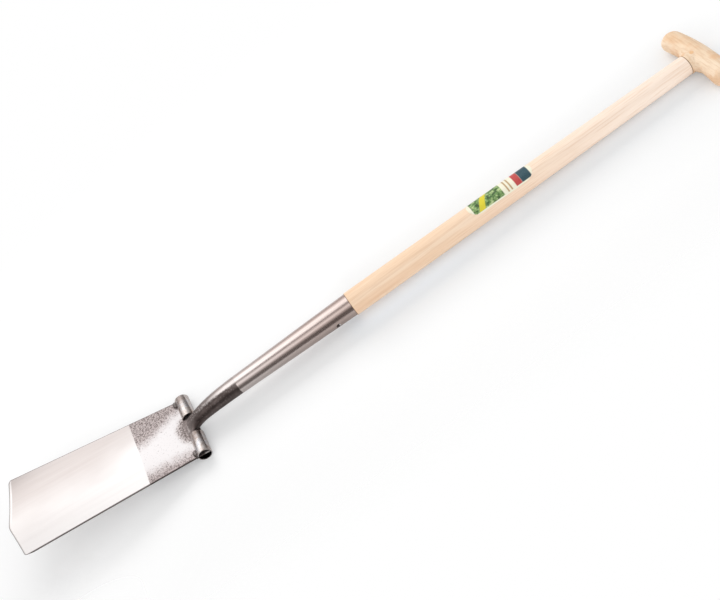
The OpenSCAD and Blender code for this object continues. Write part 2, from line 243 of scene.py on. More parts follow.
def neck_bar():
    """The forged bar, bent from the socket down to the plate and spread over it as a foot."""
    rings, sides = 90, 56
    start = Vector((-SOCKET_LEN, 0))
    way_down = Vector((-math.cos(BLADE_CRANK), math.sin(BLADE_CRANK)))
    end = Vector((STEP_X, -STEP_BACK)) + way_down * FOOT_REACH
    pulls = (start, start - Vector((NECK_LEAD, 0)), end - way_down * NECK_SETTLE, end)

    def width(u, at_socket, waist, foot, at_end):
        if u < WAIST_SHARE:
            return mix(at_socket, waist, smooth(u / WAIST_SHARE))
        if u < FLARE_SHARE:
            return mix(waist, foot, smooth((u - WAIST_SHARE) / (FLARE_SHARE - WAIST_SHARE)))
        return mix(foot, at_end, 1 - math.sqrt(1 - ((u - FLARE_SHARE) / (1 - FLARE_SHARE)) ** 2))

    points = []
    for i in range(rings + 1):
        u = i / rings
        a, b, c, d = pulls
        centre = (1 - u) ** 3 * a + 3 * u * (1 - u) ** 2 * b + 3 * u * u * (1 - u) * c + u ** 3 * d
        way = ((1 - u) ** 2 * (b - a) + 2 * u * (1 - u) * (c - b) + u * u * (d - c)).normalized()
        half_w = width(u, 2 * SOCKET_NECK_R, NECK_WAIST_W, FOOT_W, FOOT_END_W) / 2
        half_t = width(u, 2 * SOCKET_NECK_R, NECK_WAIST_T, FOOT_T, FOOT_END_T) / 2
        for k in range(sides):
            turn = 2 * math.pi * k / sides
            out, off = half_t * math.cos(turn), half_w * math.sin(turn)
            spot = Vector((centre.x + way.y * out, off, centre.y - way.x * out))
            # Mostly inwards, so that the bar keeps to its sizes
            hammered = HAMMER_DEPTH * smooth(u / HAMMER_FADE_SHARE) * (noise.noise(spot * HAMMER_GRAIN) - 0.5)
            outwards = Vector((way.y * math.cos(turn), math.sin(turn), -way.x * math.cos(turn)))
            points.append(spot + outwards * hammered)
    obj = piece("neck_bar", points, rings_to_faces(rings + 1, sides))
    crease(obj, 50)
    return obj


def socket_cone():
    """The turned cone that holds the shaft, with its edges just broken."""
    broken = [(0.0, 0.45), (0.08, 0.22), (0.22, 0.08), (0.45, 0.0)]
    stations, sides, pole_r = 40, 128, 0.4
    profile = [(-SOCKET_LEN, pole_r)]
    profile += [(-SOCKET_LEN + d / 4, SOCKET_NECK_R - c / 4) for d, c in broken]
    for i in range(stations + 1):
        up = 1 + (SOCKET_LEN - 2) * i / stations
        profile.append((-SOCKET_LEN + up, mix(SOCKET_NECK_R, SOCKET_MOUTH_R, up / SOCKET_LEN)))
    profile += [(-d, SOCKET_MOUTH_R - c) for d, c in broken[::-1]]
    profile += [(0.0, SOCKET_MOUTH_R - SOCKET_WALL), (-pole_r, pole_r)]
    points, faces = turned(profile, sides)
    obj = piece("socket_cone", points, faces)
    crease(obj, 60)
    return obj


def step_tube(name, side):
    """A short open tube, slit along one side for the plate."""
    steps = 88
    outside, inside = math.asin(SLOT_HALF / STEP_R), math.asin(SLOT_HALF / STEP_BORE_R)
    section = [(STEP_R, mix(outside, 2 * math.pi - outside, k / steps)) for k in range(steps + 1)]
    section += [(STEP_BORE_R, mix(2 * math.pi - inside, inside, k / steps)) for k in range(steps + 1)]
    ends = [side * STEP_GAP / 2, side * (BLADE_TOP_W / 2 + STEP_PROUD)]
    points = [Vector((r * math.cos(t), y, r * math.sin(t))) for y in ends for r, t in section]
    count, last = len(section), 2 * steps + 1
    faces = [(k, (k + 1) % count, count + (k + 1) % count, count + k) for k in range(count)]
    for shift in (0, count):
        faces += [(shift + k, shift + k + 1, shift + last - k - 1, shift + last - k) for k in range(steps)]
    obj = piece(name, points, faces, place=ON_BLADE)
    bevel = obj.modifiers.new("broken_edges", "BEVEL")
    bevel.width, bevel.segments = STEP_EDGE, 2
    bevel.limit_method, bevel.angle_limit = "ANGLE", math.radians(40)
    settle(obj, LAID)
    crease(obj, 35)
    return obj


def put(tree, socket, value):
    """Links another socket to a socket, or sets its value."""
    if isinstance(value, bpy.types.NodeSocket):
        tree.links.new(value, socket)
    else:
        socket.default_value = value


def add_node(tree, kind, inputs=None, out=0, **settings):
    """Adds a node with its settings and inputs, and gives back one of its outputs."""
    node = tree.nodes.new(kind)
    for key, value in settings.items():
        setattr(node, key, value)
    for key, value in (inputs or {}).items():
        put(tree, node.inputs[key], value)
    return node.outputs[out] if len(node.outputs) else node


def tree_of(name, inputs):
    """A new geometry tree with named inputs, and a maker of its nodes."""
    tree = bpy.data.node_groups.new(name, "GeometryNodeTree")
    ids = {}
    for label, kind, value in inputs:
        socket = tree.interface.new_socket(name=label, in_out="INPUT", socket_type="NodeSocket" + kind)
        if value is not None:
            socket.default_value = value
        ids[label] = socket.identifier
    tree.interface.new_socket(name="Geometry", in_out="OUTPUT", socket_type="NodeSocketGeometry")
    given = tree.nodes.new("NodeGroupInput").outputs
    add = partial(add_node, tree)

    def calc(operation, a, b=0.0, c=0.0):
        return add("ShaderNodeMath", {0: a, 1: b, 2: c}, operation=operation)

    def close(geometry):
        whole = add("GeometryNodeRealizeInstances", {"Geometry": geometry})
        soft = add("GeometryNodeSetShadeSmooth", {"Geometry": whole})
        dressed = add("GeometryNodeSetMaterial", {"Geometry": soft, "Material": given["Material"]})
        add("NodeGroupOutput", {0: dressed})
    return tree, ids, given, add, calc, close


def grown(name, tree, ids, values):
    """A piece that a geometry tree makes, still with its modifier."""
    obj = bpy.data.objects.new(name, bpy.data.meshes.new(name))
    bpy.context.collection.objects.link(obj)
    shape = obj.modifiers.new("shape", "NODES")
    shape.node_group = tree
    for label, value in values.items():
        shape[ids[label]] = value
    return obj


def taper_tree():
    """A round wooden shaft: a taper with a little belly and two rounded end edges."""
    tree, ids, given, add, calc, close = tree_of("tapered_shaft", [
        ("Length", "Float", 600.0), ("Low Radius", "Float", 19.0), ("Top Radius", "Float", 15.0),
        ("Belly", "Float", 0.8), ("Edge Round", "Float", 0.7), ("Stations", "Int", 160), ("Sides", "Int", 96),
        ("Material", "Material", None)])
    line = add("GeometryNodeMeshLine", {"Count": given["Stations"]})
    last = calc("SUBTRACT", given["Stations"], 1.0)
    half_turn = calc("MULTIPLY", calc("DIVIDE", add("GeometryNodeInputIndex"), last), math.pi)
    share = calc("MULTIPLY_ADD", calc("COSINE", half_turn), -0.5, 0.5)
    spot = add("ShaderNodeCombineXYZ", {"X": calc("MULTIPLY", share, given["Length"])})
    spaced = add("GeometryNodeSetPosition", {"Geometry": line, "Position": spot})
    curve = add("GeometryNodeMeshToCurve", {"Mesh": spaced})
    x = add("ShaderNodeSeparateXYZ", {0: add("GeometryNodeInputPosition")})
    reach = calc("DIVIDE", x, given["Length"])
    rest = calc("SUBTRACT", 1.0, reach)
    straight = calc("ADD", calc("MULTIPLY", rest, given["Low Radius"]),
                    calc("MULTIPLY", reach, given["Top Radius"]))
    belly = calc("MULTIPLY", calc("MULTIPLY", calc("MULTIPLY", reach, rest), given["Belly"]), 2.0)
    radius = calc("ADD", straight, belly)
    for depth in (x, calc("SUBTRACT", given["Length"], x)):
        inset = calc("SUBTRACT", 1.0, calc("MINIMUM", calc("DIVIDE", depth, given["Edge Round"]), 1.0))
        bow = calc("SQRT", calc("MAXIMUM", calc("SUBTRACT", 1.0, calc("MULTIPLY", inset, inset)), 0.0))
        cut = calc("SUBTRACT", 1.0, bow)
        radius = calc("SUBTRACT", radius, calc("MULTIPLY", cut, given["Edge Round"]))
    ring = add("GeometryNodeCurvePrimitiveCircle", {"Resolution": given["Sides"], "Radius": 1.0})
    close(add("GeometryNodeCurveToMesh", {
        "Curve": curve, "Profile Curve": ring, "Scale": radius, "Fill Caps": True}))
    return tree, ids


def shaft_pole(material):
    tree, ids = taper_tree()
    obj = grown("shaft_pole", tree, ids, {
        "Length": SHAFT_LEN, "Low Radius": SHAFT_LOW_R, "Top Radius": SHAFT_TOP_R, "Belly": SHAFT_BELLY,
        "Edge Round": SHAFT_EDGE, "Stations": 160, "Sides": 96, "Material": material})
    settle(obj, LAID)
    return obj


def weld_tree():
    """A short bead: ripples that overlap along a line, none quite like the next."""
    tree, ids, given, add, calc, close = tree_of("weld_bead", [
        ("Length", "Float", 12.0), ("Radius", "Float", 4.0), ("Ripples", "Int", 6), ("Seed", "Int", 0),
        ("Material", "Material", None)])
    reach = calc("SUBTRACT", calc("MULTIPLY", given["Length"], 0.5), given["Radius"])
    ends = [add("ShaderNodeCombineXYZ", {"Y": calc("MULTIPLY", reach, sign)}) for sign in (-1.0, 1.0)]
    line = add("GeometryNodeCurvePrimitiveLine", {"Start": ends[0], "End": ends[1]})
    spots = add("GeometryNodeCurveToPoints", {"Curve": line, "Count": given["Ripples"]}, mode="COUNT")
    ripple = add("GeometryNodeMeshUVSphere", {"Segments": 32, "Rings": 18, "Radius": given["Radius"]})
    swell = add("FunctionNodeRandomValue", {
        "Min": (0.86, 0.7, 0.86), "Max": (1.0, 0.95, 1.0), "Seed": given["Seed"]}, data_type="FLOAT_VECTOR")
    lean = add("FunctionNodeRandomValue", {
        "Min": (-0.25, -0.2, -0.35), "Max": (0.25, 0.2, 0.35),
        "Seed": calc("ADD", given["Seed"], 1.0)}, data_type="FLOAT_VECTOR")
    close(add("GeometryNodeInstanceOnPoints", {
        "Points": spots, "Instance": ripple, "Rotation": lean, "Scale": swell}))
    return tree, ids


def step_welds(name, side, tree, ids, material, seed):
    """The lumps at a tube's outer end, one on the front of the plate and one on its back."""
    lump_z = BLADE_T / 2 + WELD_STAND
    lump_s = math.sqrt((STEP_R + WELD_STAND) ** 2 - lump_z ** 2)
    lumps = []
    for n, face in enumerate((1, -1)):
        lump = grown(f"{name}_{n}", tree, ids, {
            "Length": WELD_LEN, "Radius": WELD_R, "Ripples": WELD_RIPPLES, "Seed": seed + 2 * n,
            "Material": material})
        settle(lump, LAID @ ON_BLADE @ Matrix.Translation(
            (lump_s, side * (BLADE_TOP_W - WELD_LEN) / 2, face * lump_z)))
        lumps.append(lump)
    bm = bmesh.new()
    for lump in lumps:
        bm.from_mesh(lump.data)
        bpy.data.objects.remove(lump)
    mesh = bpy.data.meshes.new(name)
    bm.to_mesh(mesh)
    bm.free()
    outward(mesh)
    obj = bpy.data.objects.new(name, mesh)
    bpy.context.collection.objects.link(obj)
    return obj


def cross_rivet():
    """The rivet through socket and shaft, with a low domed head on each side."""
    steps, sides, pole_r, under = 10, 40, 0.05, 1.0
    half = mix(SOCKET_MOUTH_R, SOCKET_NECK_R, RIVET_FROM_MOUTH / SOCKET_LEN)
    head = [(half + RIVET_PROUD * math.cos(t), max(RIVET_R * math.sin(t), pole_r))
            for t in [math.pi / 2 * i / steps for i in range(steps + 1)]]
    profile = head + [(half - under, RIVET_R)]
    profile += [(-x, r) for x, r in profile[::-1]]
    points, faces = turned(profile, sides)
    across = (Matrix.Translation((-RIVET_FROM_MOUTH, 0, 0)) @ Matrix.Rotation(RIVET_TURN, 4, "X")
              @ Matrix.Rotation(math.pi / 2, 4, "Z"))
    return piece("cross_rivet", points, faces, place=LAID @ across)


def grip_arms():
    """The carved T-grip: two arms that droop a little, run together with the boss round the shaft's end."""
    rings, sides, pole_r, edge = 120, 72, 0.4, 0.4
    boss_r = SHAFT_TOP_R + BOSS_LIP

    def ring(v):
        y, end = v * GRIP_LEN / 2, clamp01((abs(v) - 1 + ARM_END_SHARE) / ARM_END_SHARE)
        full = mix(ARM_FLAT_SHARE, 1, math.sqrt(1 - end ** 2))
        up = GRIP_H / 2 * full
        hollow = smooth(1 - (abs(y) - boss_r) / GRIP_HOLLOW_R)
        down = mix(up, HOLLOW_DEPTH_SHARE * GRIP_AXIS_H, hollow)
        for k in range(sides):
            t = 2 * math.pi * k / sides
            yield (GRIP_X - GRIP_DROOP * v * v + (up if math.cos(t) > 0 else down) * math.cos(t), y,
                   GRIP_T / 2 * full * math.sin(t))
    arms = [p for i in range(rings + 1) for p in ring(math.sin(math.pi * (i / rings - 0.5)))]
    faces = rings_to_faces(rings + 1, sides)
    boss, boss_faces = turned([
        (SHAFT_LEN, pole_r), (SHAFT_LEN, boss_r - edge), (SHAFT_LEN + edge, boss_r),
        (GRIP_X, BOSS_TOP_SHARE * GRIP_T / 2), (GRIP_X, pole_r)], sides)
    faces += [tuple(len(arms) + k for k in face) for face in boss_faces]
    obj = piece("grip_arms", arms + boss, faces, place=Matrix())
    blend = obj.modifiers.new("one_piece", "REMESH")
    blend.mode, blend.voxel_size = "VOXEL", 0.9
    rasped = obj.modifiers.new("sanded", "SMOOTH")
    rasped.factor, rasped.iterations = 0.5, 14
    settle(obj, LAID)
    return obj


def dowel_pin():
    """The dowel through grip and tenon, cut flush at both ends."""
    sides, pole_r = 48, 0.2
    half = mix(SHAFT_TOP_R + BOSS_LIP, BOSS_TOP_SHARE * GRIP_T / 2, DOWEL_H / GRIP_AXIS_H) + DOWEL_PROUD
    profile = [(half, pole_r), (half, DOWEL_R - DOWEL_EDGE), (half - DOWEL_EDGE, DOWEL_R)]
    profile += [(-x, r) for x, r in profile[::-1]]
    points, faces = turned(profile, sides)
    upright = Matrix.Translation((SHAFT_LEN + DOWEL_H, 0, 0)) @ Matrix.Rotation(-math.pi / 2, 4, "Y")
    obj = piece("dowel_pin", points, faces, place=LAID @ upright)
    crease(obj, 40)
    return obj


def shaft_r(x):
    share = x / SHAFT_LEN
    return mix(SHAFT_LOW_R, SHAFT_TOP_R, share) + 2 * SHAFT_BELLY * share * (1 - share)


def paper_label():
    """A printed label with round ends, wrapped on the top of the shaft."""
    rows, columns = 72, 36
    points, uvs = [], []
    for layer in (1, 0):
        for i in range(rows + 1):
            a = (1 - math.cos(math.pi * i / rows)) / 2
            x = LABEL_FROM_MOUTH + LABEL_LEN * a
            near = min(x - LABEL_FROM_MOUTH, LABEL_FROM_MOUTH + LABEL_LEN - x)
            wide = 1 - LABEL_END_SHARE * (1 - math.sqrt(1 - (1 - min(near / LABEL_END_LEN, 1)) ** 2))
            for j in range(columns + 1):
                across = 2 * j / columns - 1
                turn = across * wide * LABEL_ARC / 2
                r = shaft_r(x) + LABEL_GLUE + layer * LABEL_T * LABEL_T_SHARE
                points.append((x, -r * math.sin(turn), r * math.cos(turn)))
                uvs.append((a, 0.5 + 0.5 * across * wide))
    row = columns + 1
    count = (rows + 1) * row
    faces = []
    for shift in (0, count):
        corners = [shift + i * row + j for i in range(rows) for j in range(columns)]
        faces += [(k, k + 1, k + row + 1, k + row) for k in corners]
    rim = list(range(columns)) + [i * row + columns for i in range(rows)]
    rim += [rows * row + j for j in range(columns, 0, -1)] + [i * row for i in range(rows, 0, -1)]
    faces += [(a, b, b + count, a + count) for a, b in zip(rim, rim[1:] + rim[:1])]
    obj = piece("paper_label", points, faces, uvs)
    crease(obj, 40)
    return obj


# Finishes

class Shading:
    """A shader tree in the making: each call adds a node and gives back the socket that carries its result."""

    def __init__(self, tree):
        self.tree = tree

    def add(self, kind, inputs=None, out=0, **settings):
        return add_node(self.tree, "ShaderNode" + kind, inputs, out, **settings)

    def parts(self, vector):
        node = self.add("SeparateXYZ", {0: vector}).node
        return node.outputs["X"], node.outputs["Y"], node.outputs["Z"]

    def calc(self, operation, a, b=0.0, c=0.0):
        return self.add("Math", {0: a, 1: b, 2: c}, operation=operation)

    def plus(self, a, b):
        return self.calc("ADD", a, b)

    def less(self, a, b):
        return self.calc("SUBTRACT", a, b)

    def times(self, a, b, plus=None):
        """A product, and a sum on top of it where one is given."""
        return self.calc("MULTIPLY", a, b) if plus is None else self.calc("MULTIPLY_ADD", a, b, plus)

    def most(self, a, b):
        return self.calc("MAXIMUM", a, b)

    def reach(self, x, y):
        """How far a point lies from the middle, in two directions."""
        flat = self.add("CombineXYZ", {"X": x, "Y": y})
        return self.add("VectorMath", {0: flat}, out="Value", operation="LENGTH")

    def rise(self, value, low, high):
        """Nothing below low, all above high, and smooth between."""
        return self.add("MapRange", {"Value": value, "From Min": low, "From Max": high},
                        interpolation_type="SMOOTHSTEP")

    def within(self, value, low, high):
        """How far a value has come from low to high, as a share."""
        return self.add("MapRange", {"Value": value, "From Min": low, "From Max": high})

    def span(self, value, low, high):
        """A share spread out from low to high."""
        return self.add("MapRange", {"Value": value, "To Min": low, "To Max": high})

    def blend(self, share, a, b):
        """From one number to another."""
        return self.add("Mix", {0: share, 2: a, 3: b})

    def mix(self, share, a, b):
        """From one colour to another."""
        return self.add("Mix", {0: share, 6: a, 7: b}, out=2, data_type="RGBA")

    def tint(self, colour, tone, share, limit=None):
        """A colour turned towards a tone by a share, or by no more than a limit."""
        return self.mix(share if limit is None else self.times(share, limit), colour, tone)

    def ramp(self, share, stops):
        socket = self.add("ValToRGB", {"Fac": share})
        elements = socket.node.color_ramp.elements
        while len(elements) < len(stops):
            elements.new(0.5)
        for element, (spot, colour) in zip(elements, stops):
            element.position, element.color = spot, (*colour, 1)
        return socket


class Finish(Shading):
    """A material in the making. Its places and sizes are in metres."""

    def __init__(self, name, **shader):
        self.material = bpy.data.materials.new(name)
        self.material.use_nodes = True
        super().__init__(self.material.node_tree)
        self.shader = self.tree.nodes["Principled BSDF"]
        for key, value in shader.items():
            self.shader.inputs[key.replace("_", " ")].default_value = value

    def place(self, scale=(1, 1, 1), shift=(0, 0, 0), on="Object"):
        """Where a point is: on the object, or on the piece's own surface map."""
        where = self.add("TexCoord", out=on)
        return self.add("Mapping", {"Vector": where, "Location": shift, "Scale": scale})

    def from_axis(self, x):
        """How far a point lies up the spade from x on the shaft's axis, and how far across."""
        return self.parts(self.place(shift=(-(LAID @ Vector((x, 0, 0))).x, 0, 0)))[:2]

    def noise(self, where, scale, detail=2.0, rough=0.5, twist=0.0):
        return self.add("TexNoise", {
            "Vector": where, "Scale": scale, "Detail": detail, "Roughness": rough, "Distortion": twist})

    def wear(self, colour, rough, height, depth, strength, metal=None):
        """Links what was made to the shader."""
        bump = self.add("Bump", {"Height": height, "Distance": depth, "Strength": strength})
        made = {"Base Color": colour, "Roughness": rough, "Normal": bump}
        if metal is not None:
            made["Metallic"] = metal
        for key, value in made.items():
            put(self.tree, self.shader.inputs[key], value)
        return self.material


def rgb(r, g, b):
    return (r, g, b, 1)


def ground_and_forged_steel():
    """The blade: ground bright from a straight line down to the point, with its forged scale left above."""
    f = Finish("ground_and_forged_steel")
    along, across, _ = f.parts(f.place(on="UV"))
    off_middle = f.calc("ABSOLUTE", across)
    blots = f.noise(f.place(on="UV"), 95.0, 3.0, 0.6)
    wobble = f.times(blots, 0.02, plus=-0.01)
    ground = f.rise(f.times(wobble, 0.06, plus=along), 0.0864, 0.0876)

    # Ground part: painted shade darkens its left side so that it is brightest on the right; finely streaked,
    # and whetted along the left of the cutting edge
    streaks = f.noise(f.place((5, 130, 1), on="UV"), 1.0, 4.0, 0.65)
    clouds = f.noise(f.place((11, 24, 1), on="UV"), 1.0, 2.0, 0.5)
    drawn_in = f.rise(along, 0.17, 0.08)
    left_of = f.times(drawn_in, -0.022, plus=f.times(clouds, 0.03, plus=-0.015))
    # Painted shade: the share towards the darker left side of the ground steel
    side = f.rise(f.plus(across, left_of), -0.028, 0.042)
    bright = f.mix(side, rgb(0.885, 0.86, 0.85), rgb(0.555, 0.503, 0.485))
    bright = f.tint(bright, rgb(0.76, 0.725, 0.715), f.rise(streaks, 0.35, 0.75), limit=0.28)
    end = f.times(off_middle, -2 * POINT_LEN / BLADE_TIP_W, plus=(BLADE_LEN + POINT_LEN) / 1000)
    whetted = f.times(f.rise(f.less(end, along), 0.0037, 0.0026), f.rise(across, 0.0, 0.01))
    bright = f.tint(bright, rgb(0.80, 0.77, 0.76), whetted)

    # Forged part: dark scale along both sides and round the foot, thinning out in specks to a pale middle that
    # is partly bare steel and partly painted highlight along the dish
    left_line = f.add("MapRange", {
        "Value": along, "From Min": 0.012, "From Max": 0.075, "To Min": 0.042, "To Max": 0.014})
    left = f.rise(f.less(f.plus(across, wobble), left_line), -0.016, 0.011)
    right = f.rise(f.less(wobble, across), 0.028, 0.058)
    foot_off = f.reach(f.times(f.less(along, 0.002), 1.25), f.plus(across, 0.003))
    foot = f.rise(f.times(wobble, 0.9, plus=foot_off), 0.038, 0.018)
    scale = f.most(f.most(left, right), foot)
    grains = f.noise(f.place(on="UV"), 760.0, 3.0, 0.7)
    coarse = f.noise(f.place(on="UV"), 360.0, 2.0, 0.6)
    pepper = f.times(coarse, 0.55, plus=f.times(grains, 0.45))
    shed = f.times(foot, 0.03, plus=f.times(scale, 0.13))
    specks = f.rise(f.plus(shed, pepper), 0.565, 0.72)
    grey = f.mix(foot, rgb(0.64, 0.57, 0.56), rgb(0.58, 0.52, 0.505))
    # Where there is no scale, the pale colour partly paints the dish's highlight
    forged = f.mix(scale, rgb(0.82, 0.80, 0.805), grey)
    forged = f.tint(forged, rgb(0.15, 0.12, 0.115), specks, limit=0.9)
    colour = f.mix(ground, forged, bright)

    # Painted shade darkens the rolled edges and a thin outline along the plate's sides; the plate's end inside
    # the tubes gets a paler grey
    half_w = f.times(along, (BLADE_TIP_W - BLADE_TOP_W) / BLADE_LEN / 2, plus=BLADE_TOP_W / 2000)
    margin = f.less(half_w, off_middle)
    colour = f.tint(colour, rgb(0.20, 0.17, 0.165), f.rise(margin, 0.0015, 0.0006), limit=0.9)
    rim_painted_shade = f.mix(f.rise(along, -0.002, 0.001), rgb(0.60, 0.57, 0.56), rgb(0.12, 0.10, 0.095))
    colour = f.tint(colour, rim_painted_shade, f.add("Attribute", out="Fac", attribute_name="rim"))

    rough = f.blend(ground, f.span(scale, 0.42, 0.52), f.span(streaks, 0.30, 0.40))
    height = f.blend(ground, f.times(pepper, f.span(scale, 0.35, 1.0)), f.times(streaks, 0.12))
    matt = f.times(f.rise(across, -0.02, -0.06), 0.35, plus=f.times(side, -0.5, plus=0.5))
    metal = f.less(1.0, f.times(ground, matt))
    return f.wear(colour, rough, height, depth=0.00025, strength=0.4, metal=metal)


def forged_neck_steel():
    """Black forged bar, pale where it was worked after the forging and where highlight is painted along its
    lit upper left.
    """
    f = Finish("forged_neck_steel", Metallic=1.0)
    pits = f.noise(f.place(), 420.0, 3.0, 0.6)
    blooms = f.noise(f.place((1, 1.6, 1.6)), 55.0, 3.0, 0.6)
    drawn = f.noise(f.place((30, 260, 260)), 1.0, 3.0, 0.6)
    colour = f.ramp(blooms, [
        (0.30, (0.098, 0.079, 0.074)), (0.55, (0.16, 0.132, 0.125)), (0.75, (0.25, 0.212, 0.205))])
    colour = f.tint(colour, rgb(0.40, 0.37, 0.365), f.rise(pits, 0.56, 0.72), limit=0.5)
    colour = f.tint(colour, rgb(0.075, 0.062, 0.058), f.rise(drawn, 0.52, 0.75), limit=0.4)
    # Hammered paler at the foot, with a frayed edge, and above it on the lit left side pale chips of painted
    # highlight
    x, y = f.from_axis(-SOCKET_LEN)
    colour = f.tint(colour, rgb(0.37, 0.32, 0.31), f.rise(x, -0.074, -0.094), limit=0.62)
    frayed = f.times(pits, 0.020, plus=f.times(blooms, 0.010, plus=x))
    colour = f.tint(colour, rgb(0.58, 0.52, 0.505), f.rise(frayed, -0.080, -0.090))
    painted_highlight_zone = f.times(f.rise(x, -0.035, -0.062), f.rise(y, -0.006, 0.004))
    painted_highlight_chips = f.times(f.rise(pits, 0.52, 0.64), painted_highlight_zone)
    colour = f.tint(colour, rgb(0.66, 0.61, 0.595), painted_highlight_chips, limit=0.75)
    # The turning of the socket has run out over the neck's upper left, and this pale strip on the lit side is
    # partly painted highlight
    edge = f.times(x, 0.05, plus=f.times(pits, 0.006, plus=-0.0024))
    turned_run_and_painted_highlight = f.times(f.rise(x, -0.082, -0.016), f.rise(f.plus(y, edge), -0.0080, -0.0040))
    colour = f.tint(colour, rgb(0.62, 0.57, 0.555), turned_run_and_painted_highlight)
    uneven = f.times(turned_run_and_painted_highlight, -0.85, plus=1.0)
    height = f.times(f.times(pits, 0.5, plus=f.times(blooms, 0.8)), uneven)
    rough = f.times(turned_run_and_painted_highlight, -0.18, plus=f.span(blooms, 0.36, 0.46))
    return f.wear(colour, rough, height, depth=0.0003, strength=0.22)


def turned_socket_steel():
    """Bright turned steel, drawn in fine lines along its length."""
    f = Finish("turned_socket_steel", Metallic=1.0)
    drawn = f.noise(f.place((9, 420, 420)), 1.0, 4.0, 0.6)
    clouds = f.noise(f.place((8, 40, 40)), 1.0, 2.0, 0.5)
    colour = f.ramp(clouds, [(0.3, (0.59, 0.49, 0.455)), (0.7, (0.71, 0.615, 0.58))])
    colour = f.tint(colour, rgb(0.46, 0.37, 0.335), f.rise(drawn, 0.45, 0.8), limit=0.5)
    # Brighter and less tinted towards the neck
    along, _ = f.from_axis(0)
    colour = f.tint(colour, rgb(0.74, 0.70, 0.69), f.rise(along, -0.05, -0.19), limit=0.6)
    return f.wear(colour, f.span(drawn, 0.20, 0.30), drawn, depth=0.00006, strength=0.3)


def drawn_tube_steel():
    """Tube with the blue and brown tints that the welding's heat left on it."""
    f = Finish("drawn_tube_steel", Metallic=1.0)
    heat = f.noise(f.place(), 75.0, 3.0, 0.6, 0.6)
    drawn = f.noise(f.place((300, 26, 300)), 1.0, 3.0, 0.6)
    pits = f.noise(f.place(), 600.0, 2.0, 0.5)
    colour = f.ramp(heat, [
        (0.28, (0.42, 0.33, 0.29)), (0.45, (0.62, 0.555, 0.525)), (0.56, (0.72, 0.68, 0.67)),
        (0.72, (0.56, 0.585, 0.64))])
    colour = f.tint(colour, rgb(0.22, 0.20, 0.19), f.rise(pits, 0.55, 0.7), limit=0.55)
    # Soot and shade in the bore
    axis = LAID @ Vector((STEP_X, 0, -STEP_BACK))
    x, _, z = f.parts(f.place(shift=(-axis.x, 0, -axis.z)))
    colour = f.tint(colour, rgb(0.025, 0.021, 0.02), f.rise(f.reach(x, z), 0.0104, 0.0092))
    return f.wear(colour, f.span(drawn, 0.20, 0.32), f.plus(drawn, pits), depth=0.0001, strength=0.25)


def weld_metal():
    f = Finish("weld_metal", Metallic=0.95)
    burnt = f.noise(f.place(), 260.0, 3.0, 0.6)
    colour = f.ramp(burnt, [
        (0.32, (0.10, 0.085, 0.08)), (0.55, (0.30, 0.27, 0.26)), (0.75, (0.52, 0.50, 0.50))])
    return f.wear(colour, f.span(burnt, 0.30, 0.48), burnt, depth=0.0003, strength=0.4)


def rivet_steel():
    f = Finish("rivet_steel")
    dull = f.noise(f.place(), 700.0, 3.0, 0.6)
    # Near black, partly as painted shade round the domed head
    colour = f.ramp(dull, [(0.3, (0.05, 0.038, 0.035)), (0.7, (0.13, 0.11, 0.105))])
    # Painted highlight, pale on the side towards the mouth
    along, _ = f.from_axis(-RIVET_FROM_MOUTH)
    rivet_painted_highlight = f.rise(along, 0.0008, 0.0022)
    colour = f.tint(colour, rgb(0.56, 0.53, 0.525), rivet_painted_highlight)
    metal = f.times(rivet_painted_highlight, -0.6, plus=0.9)
    return f.wear(colour, f.span(dull, 0.40, 0.58), dull, depth=0.0001, strength=0.3, metal=metal)


def wood(name, coarse, dash, fine, tones, line, shade):
    """Sanded wood: broad bands, short dashes and fine pores, all drawn out along the grain."""
    f = Finish(name, IOR=WOOD_IOR)
    bands = f.noise(f.place(coarse), 1.0, 3.0, 0.55, 0.4)
    pores = f.noise(f.place(fine), 1.0, 4.0, 0.7)
    colour = f.ramp(bands, tones)
    colour = f.tint(colour, line, f.rise(pores, 0.5, 0.72), limit=0.5)
    colour = shade(f, colour)
    dashes = f.noise(f.place(dash), 1.0, 2.0, 0.5)
    colour = f.tint(colour, line, f.rise(dashes, 0.46, 0.70), limit=0.34)
    return f.wear(colour, f.span(pores, 0.46, 0.58), pores, depth=0.00012, strength=0.25)


def seam_shade(f, colour, x, way, tone):
    """Darkens the wood towards a joint that lies across the spade at x."""
    along, _ = f.from_axis(x)
    return f.tint(colour, tone, f.rise(f.times(along, way), 0.001, 0.0002))


def hickory_shaft_wood():
    def shade(f, colour):
        """Paler towards the grip, and dark at both joints."""
        along, _ = f.from_axis(0)
        colour = f.tint(colour, rgb(1.0, 0.88, 0.785), f.rise(along, 0.10, 0.56), limit=0.72)
        colour = seam_shade(f, colour, SHAFT_LEN, -1, rgb(0.30, 0.18, 0.10))
        return seam_shade(f, colour, 0, 1, rgb(0.42, 0.28, 0.18))
    return wood("hickory_shaft_wood", (3.2, 95, 95), (16, 430, 430), (9, 900, 900),
                [(0.25, (0.81, 0.545, 0.36)), (0.5, (0.89, 0.655, 0.465)), (0.75, (0.94, 0.745, 0.57))],
                rgb(0.72, 0.46, 0.28), shade)


def grip_hardwood():
    def shade(f, colour):
        """Warm clouds, and dark at the joint with the shaft."""
        clouds = f.noise(f.place(shift=(0.3, 0, 0)), 42.0, 2.0, 0.5)
        colour = f.tint(colour, rgb(0.78, 0.47, 0.26), f.rise(clouds, 0.48, 0.68), limit=0.65)
        return seam_shade(f, colour, SHAFT_LEN, 1, rgb(0.30, 0.18, 0.10))
    return wood("grip_hardwood", (70, 14, 70), (340, 34, 340), (820, 22, 820),
                [(0.25, (0.78, 0.54, 0.345)), (0.5, (0.88, 0.69, 0.505)), (0.75, (0.92, 0.76, 0.59))],
                rgb(0.62, 0.38, 0.20), shade)


